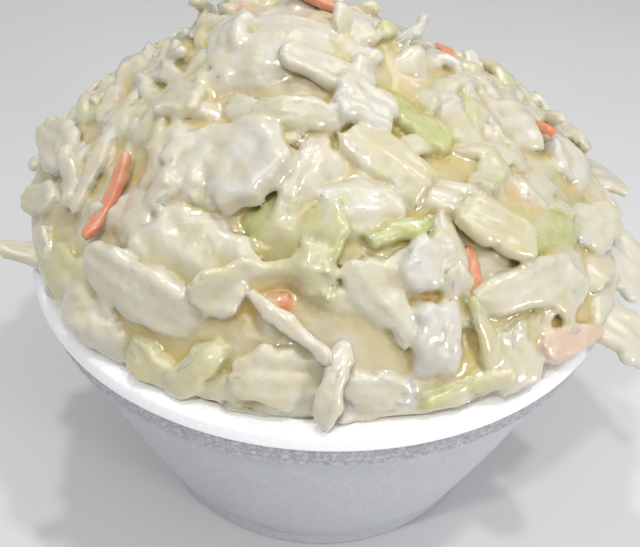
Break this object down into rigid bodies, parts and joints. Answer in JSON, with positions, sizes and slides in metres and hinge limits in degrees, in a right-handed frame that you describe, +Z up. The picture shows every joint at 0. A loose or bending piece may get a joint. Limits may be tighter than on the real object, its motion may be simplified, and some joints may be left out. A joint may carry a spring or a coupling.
{
  "type": "coleslaw in a foam cup",
  "caption": "Creamy coleslaw of cabbage leaf, shreds and carrot heaped high over the rim of a round, tapered white foam cup.",
  "frame": {"origin": "centre of the cup's foot, on the surface it stands on", "axes": "+Z up along the cup's axis, -Y towards the side shown in the picture, +X to the right of that view, where the heap spreads widest"},
  "size_m": [0.1259, 0.116, 0.1039],
  "materials": {
    "foam": "white expanded polystyrene foam with a fine bead texture",
    "slaw": "wet cream dressing over pale cabbage and carrot"
  },
  "bodies": {
    "root": {"cup": "foam", "coleslaw": "slaw"}
  },
  "joints": []
}
